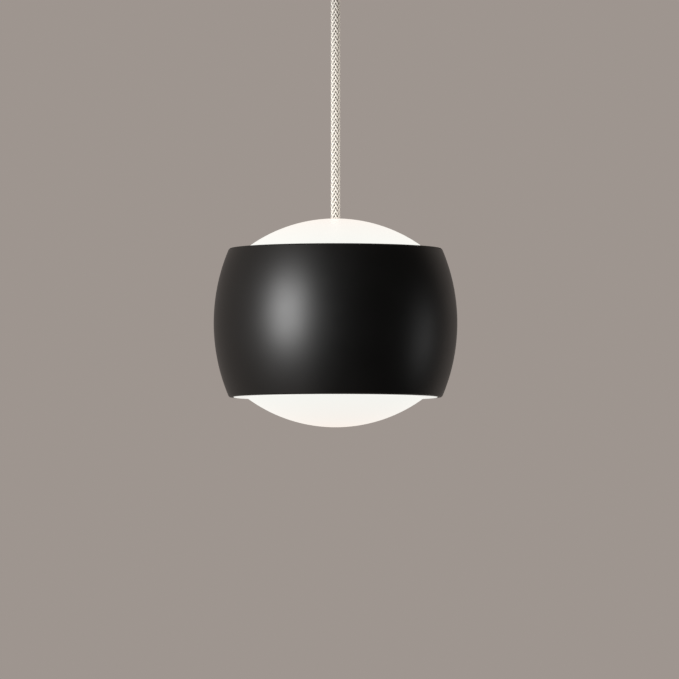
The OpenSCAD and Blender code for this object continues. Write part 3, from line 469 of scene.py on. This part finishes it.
finish(board_material("green_board", mask=(0.02, 0.16, 0.07), track=(0.06, 0.28, 0.14)), "driver_board",
       "control_board")

# Terminal block: ivory moulded poles for the house wiring, with zinc plated clamping screws. The plug and
# socket of the driver's output are moulded from the same plastic. The leads are round wire, brown to the
# driver and red on its output.
finish(moulded_material("ivory_plastic", colour=(0.66, 0.62, 0.52), roughness=0.42), "terminal_block",
       "driver_socket", "driver_plug")


def round_off(*names):
    """Rounds the flat sides of leads."""
    corner_gap = 0.00001
    divisions = 2
    for name in names:
        lead = nodes[name]
        weld = lead.modifiers.new("join_corners", "WELD")
        weld.merge_threshold = corner_gap
        smooth = lead.modifiers.new("round", "SUBSURF")
        smooth.levels = divisions
        smooth.render_levels = divisions


finish(moulded_material("brown_insulation", colour=(0.16, 0.07, 0.035), roughness=0.4, bump=0.1),
       "mains_leads")
finish(moulded_material("red_insulation", colour=(0.45, 0.03, 0.025), roughness=0.4, bump=0.1),
       "output_leads", "head_leads", "upper_feed_leads")
round_off("mains_leads", "output_leads", "head_leads")

# Turned brass: the earth screw with its cup washer, the lock nut of the cord grip, and inside the lamp
# head the cord anchor and the posts of the control board. The lathe leaves fine rings.


def turned_group():
    """Fine rings round the lamp's axis, as a lathe's tool leaves them."""
    group, given, put = new_group(
        "turned_rings",
        [("Pitch", "NodeSocketFloat", 0.0002), ("Roughness", "NodeSocketFloat", 0.3),
         ("Spread", "NodeSocketFloat", 0.15)],
        [("Roughness", "NodeSocketFloat"), ("Height", "NodeSocketFloat")])
    body = add_node(group, "ShaderNodeTexCoord")
    flat = add_node(group, "ShaderNodeVectorMath", operation="MULTIPLY")
    flat.inputs[1].default_value = (1, 1, 0)
    radius = add_node(group, "ShaderNodeVectorMath", operation="LENGTH")
    split = add_node(group, "ShaderNodeSeparateXYZ")
    profile = add_node(group, "ShaderNodeCombineXYZ")
    rings = add_node(group, "ShaderNodeTexNoise", noise_dimensions="2D", Detail=2)
    group.links.new(body.outputs["Object"], flat.inputs[0])
    group.links.new(flat.outputs["Vector"], radius.inputs[0])
    group.links.new(body.outputs["Object"], split.inputs["Vector"])
    group.links.new(radius.outputs["Value"], profile.inputs["X"])
    group.links.new(split.outputs["Z"], profile.inputs["Y"])
    group.links.new(profile.outputs["Vector"], rings.inputs["Vector"])
    group.links.new(per_metre(group, given.outputs["Pitch"]), rings.inputs["Scale"])
    mask = rings.outputs["Fac"]
    rough = vary(group, mask, given.outputs["Spread"], given.outputs["Roughness"])
    group.links.new(rough, put.inputs["Roughness"])
    group.links.new(mask, put.inputs["Height"])
    return group


turned_rings = turned_group()


def brass_material():
    """Brass from the lathe, a little tarnished."""
    material, tree, shader = new_material("turned_brass", Metallic=1)
    rings = add_group(tree, turned_rings, Pitch=0.00025, Roughness=0.28, Spread=0.2)
    tarnish = add_group(tree, fine_grain, Colour=(0.66, 0.47, 0.19, 1), Shade=0.3, Grain_Size=0.0002)
    tree.links.new(tarnish.outputs["Colour"], shader.inputs["Base Color"])
    tree.links.new(rings.outputs["Roughness"], shader.inputs["Roughness"])
    add_bump(tree, shader, rings.outputs["Height"], strength=0.2, distance=0.00002)
    return material


finish(brass_material(), "earth_screw", "grip_lock_nut", "cord_anchor", "board_posts")

# Canopy: a deep drawn steel cup with a matte black powder coat, held to the plate's tabs by three socket
# screws in riveted nuts. The turned cord grip under it has the same coat, and a flared mouth for the cord.
coat_colour = (0.002, 0.002, 0.002)
coat_roughness = 0.43
coat_grain = 0.0006


def dust_group():
    """A film of dust, which dulls a skin where it faces up."""
    group, given, put = new_group(
        "dust_film",
        [("Roughness", "NodeSocketFloat", 0.4), ("Dusty Roughness", "NodeSocketFloat", 0.9)],
        [("Roughness", "NodeSocketFloat")])
    least_slope = 0.5
    body = add_node(group, "ShaderNodeTexCoord")
    split = add_node(group, "ShaderNodeSeparateXYZ")
    film = add_node(group, "ShaderNodeMapRange", From_Min=least_slope)
    group.links.new(body.outputs["Normal"], split.inputs["Vector"])
    group.links.new(split.outputs["Z"], film.inputs["Value"])
    group.links.new(given.outputs["Roughness"], film.inputs["To Min"])
    group.links.new(given.outputs["Dusty Roughness"], film.inputs["To Max"])
    group.links.new(film.outputs["Result"], put.inputs["Roughness"])
    return group


dust_film = dust_group()


def coat_material(name):
    """Matte black powder coat with faint orange peel."""
    material, tree, shader = new_material(name)
    skin = add_group(tree, fine_grain, Colour=(*coat_colour, 1), Shade=0.3, Roughness=coat_roughness,
                     Spread=0.06, Grain_Size=coat_grain)
    dust_and_painted_shade = add_group(tree, dust_film, Dusty_Roughness=0.95)
    tree.links.new(skin.outputs["Colour"], shader.inputs["Base Color"])
    tree.links.new(skin.outputs["Roughness"], dust_and_painted_shade.inputs["Roughness"])
    tree.links.new(dust_and_painted_shade.outputs["Roughness"], shader.inputs["Roughness"])
    add_bump(tree, shader, skin.outputs["Height"], strength=0.05, distance=coat_grain / 4)
    return material


blackened = plated_material("blackened_steel", colour=(0.06, 0.06, 0.065), crystal=0.0008, roughness=0.4,
                            spread=0.15, metallic=1)
finish(coat_material("black_paint"), "canopy_cover", "cord_grip")
finish(blackened, "canopy_screws", "grip_screw", "anchor_screw")

# Housing: one turned aluminium barrel with a deep cup above and below a web, and a lip inside each rim
# that the lenses snap behind. It has the same powder coat as the canopy.
finish(coat_material("black_coat"), "housing")

# Light boards and reflectors: white aluminium boards with twelve light-emitting packages each, in white
# conical reflectors. A dark shroud leads from the gesture sensor to the lower lens, and a ring of soft
# silicone lies between each lens's flange and its seat.
finish(board_material("white_board", mask=(0.82, 0.83, 0.82), track=(0.70, 0.71, 0.70)), "upper_led_board",
       "lower_led_board")
finish(moulded_material("reflector_white", colour=(0.88, 0.88, 0.86), roughness=0.35), "upper_reflector",
       "lower_reflector")
finish(moulded_material("led_phosphor", colour=(0.85, 0.60, 0.12), roughness=0.3), "upper_leds", "lower_leds")
finish(moulded_material("black_plastic", colour=(0.02, 0.02, 0.02), roughness=0.55), "sensor_shroud",
       "link_header")
finish(moulded_material("clear_silicone", colour=(0.75, 0.75, 0.72), roughness=0.4), "upper_lens_seal",
       "lower_lens_seal")

# Lenses: satin opal acrylic domes with a flat flange and a skirt that snaps into the housing. The dome glows
# evenly, a little warmer in the middle, and the flange is dimmer, because no light board is behind it.
lens_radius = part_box("upper_lens")[1].x
dome_radius = 0.0402
dome_share = dome_radius / lens_radius
flange_fade = 0.02
glow_middle = (0.85, 0.77, 0.71, 1)
glow_edge = (0.815, 0.825, 0.795, 1)
glow_flange = (0.77, 0.77, 0.74, 1)
acrylic_colour = (0.12, 0.117, 0.113, 1)


def opal_material():
    """Satin acrylic that glows, by the distance from the lamp's axis."""
    material, tree, shader = new_material("opal_acrylic", Emission_Strength=1)
    skin = add_group(tree, fine_grain, Colour=acrylic_colour, Shade=0.03, Roughness=0.4, Spread=0.05,
                     Grain_Size=0.0008)
    body = add_node(tree, "ShaderNodeTexCoord")
    flat = add_node(tree, "ShaderNodeVectorMath", operation="MULTIPLY")
    flat.inputs[1].default_value = (1 / lens_radius, 1 / lens_radius, 0)
    distance = add_node(tree, "ShaderNodeVectorMath", operation="LENGTH")
    glow = add_node(tree, "ShaderNodeValToRGB")
    glow.color_ramp.elements[0].color = glow_middle
    glow.color_ramp.elements.new(dome_share).color = glow_edge
    glow.color_ramp.elements[-1].position = dome_share + flange_fade
    glow.color_ramp.elements[-1].color = glow_flange
    tree.links.new(body.outputs["Object"], flat.inputs[0])
    tree.links.new(flat.outputs["Vector"], distance.inputs[0])
    tree.links.new(distance.outputs["Value"], glow.inputs["Fac"])
    tree.links.new(glow.outputs["Color"], shader.inputs["Emission Color"])
    wear_skin(tree, skin, shader)
    return material


finish(opal_material(), "upper_lens", "lower_lens")

# Floor and light: a pale floor well below the lamp, and soft light from the left, of which the cord gets the
# most. A bright panel shows as the highlight on the coat, and a black screen on the right keeps the rest of
# the coat dark. The backdrop is a plain warm grey.
backdrop_colour = (0.342, 0.301, 0.275, 1)
ambient_colour = (1.15, 1.07, 0.98, 1)
light_distance = 1.2
screen_colour = (0.002, 0.002, 0.002, 1)
screen_distance = 1.6
screen_height = 5
screen_from, screen_to = 28, -120
screen_steps = 24
floor_colour = (0.45, 0.435, 0.425, 1)
floor_drop = 0.9
floor_radius = 7
floor_corners = 96


def soft_light(name, azimuth, elevation, width, height, power):
    """A rectangular soft light that faces the lamp head, at angles from the camera's side of the lamp."""
    turn = math.radians(azimuth)
    rise = math.radians(elevation)
    place = Vector((-math.sin(turn) * math.cos(rise), -math.cos(turn) * math.cos(rise), math.sin(rise)))
    data = bpy.data.lights.new(name, "AREA")
    data.shape = "RECTANGLE"
    data.size = width
    data.size_y = height
    data.energy = power
    lamp = add_object(name, data)
    lamp.location = Vector((0, 0, head_z)) + light_distance * place
    lamp.rotation_euler = (-place).to_track_quat("-Z", "Y").to_euler()
    return lamp


def light_only(lamp, *pieces):
    """Lets a light reach no more than some pieces."""
    lit = bpy.data.collections.new(lamp.name)
    for piece in pieces:
        lit.objects.link(piece)
    lamp.light_linking.receiver_collection = lit


key_light = soft_light("key_light", azimuth=68, elevation=5, width=0.4, height=0.8, power=5)
key_light.visible_glossy = False
cord_light = soft_light("cord_light", azimuth=70, elevation=0, width=0.4, height=0.8, power=8.2)
light_only(cord_light, cord, cord_tail, cord_root)
highlight_panel = soft_light("highlight_panel", azimuth=45.5, elevation=6.5, width=0.52, height=0.58,
                             power=18.5)
highlight_panel.visible_diffuse = False
light_only(highlight_panel, nodes["housing"], nodes["canopy_cover"], nodes["cord_grip"])
side_panel = soft_light("side_panel", azimuth=-91, elevation=-6, width=0.4, height=0.5, power=0.9)
side_panel.visible_diffuse = False


def screen_material():
    """Black velvet with a short pile."""
    material, tree, shader = new_material("black_velvet", Specular_IOR_Level=0)
    pile = add_group(tree, fine_grain, Colour=screen_colour, Shade=0.2, Roughness=1, Grain_Size=0.002)
    wear_skin(tree, pile, shader)
    return material


def black_screen():
    """A curved screen in front of the lamp, to the right, which only reflections show."""
    corners = []
    for step in range(screen_steps + 1):
        turn = math.radians(screen_from + (screen_to - screen_from) * step / screen_steps)
        x, y = -screen_distance * math.sin(turn), -screen_distance * math.cos(turn)
        corners.append((x, y, head_z - screen_height / 2))
        corners.append((x, y, head_z + screen_height / 2))
    strips = [(low, low + 1, low + 3, low + 2) for low in range(0, 2 * screen_steps, 2)]
    mesh = bpy.data.meshes.new("black_screen")
    mesh.from_pydata(corners, [], strips)
    mesh.materials.append(screen_material())
    screen = add_object("black_screen", mesh)
    screen.visible_camera = False
    screen.visible_diffuse = False
    screen.visible_transmission = False
    screen.visible_shadow = False
    return screen


black_screen()


def floor_material():
    """Pale matte paper, which can't be seen from below."""
    material, tree, shader = new_material("pale_floor", Roughness=0.8, Specular_IOR_Level=0)
    fibres = add_group(tree, fine_grain, Colour=floor_colour, Shade=0.06, Grain_Size=0.002)
    tree.links.new(fibres.outputs["Colour"], shader.inputs["Base Color"])
    sides = add_node(tree, "ShaderNodeNewGeometry")
    clear = add_node(tree, "ShaderNodeBsdfTransparent")
    choose = add_node(tree, "ShaderNodeMixShader")
    tree.links.new(sides.outputs["Backfacing"], choose.inputs["Fac"])
    tree.links.new(shader.outputs["BSDF"], choose.inputs[1])
    tree.links.new(clear.outputs["BSDF"], choose.inputs[2])
    tree.links.new(choose.outputs["Shader"], tree.nodes["Material Output"].inputs["Surface"])
    return material


floor_mesh = bpy.data.meshes.new("floor")
floor_edge = [(x, y, -floor_drop) for x, y in circle(floor_radius, floor_corners)]
floor_mesh.from_pydata(floor_edge, [], [range(floor_corners)])
floor_mesh.materials.append(floor_material())
floor = add_object("floor", floor_mesh)
floor.visible_glossy = False

world = bpy.data.worlds.new("studio")
bpy.context.scene.world = world
world.use_nodes = True
sky = world.node_tree
ambient = sky.nodes["Background"]
ambient.inputs["Color"].default_value = ambient_colour
backdrop = add_node(sky, "ShaderNodeBackground", Color=backdrop_colour)
path = add_node(sky, "ShaderNodeLightPath")
camera_or_glossy = add_node(sky, "ShaderNodeMath", operation="ADD")
seen = add_node(sky, "ShaderNodeMath", operation="ADD", use_clamp=True)
choose_sky = add_node(sky, "ShaderNodeMixShader")
sky.links.new(path.outputs["Is Camera Ray"], camera_or_glossy.inputs[0])
sky.links.new(path.outputs["Is Glossy Ray"], camera_or_glossy.inputs[1])
sky.links.new(camera_or_glossy.outputs["Value"], seen.inputs[0])
sky.links.new(path.outputs["Is Transmission Ray"], seen.inputs[1])
sky.links.new(seen.outputs["Value"], choose_sky.inputs["Fac"])
sky.links.new(ambient.outputs["Background"], choose_sky.inputs[1])
sky.links.new(backdrop.outputs["Background"], choose_sky.inputs[2])
sky.links.new(choose_sky.outputs["Shader"], sky.nodes["World Output"].inputs["Surface"])

bpy.context.scene.view_settings.view_transform = "Standard"
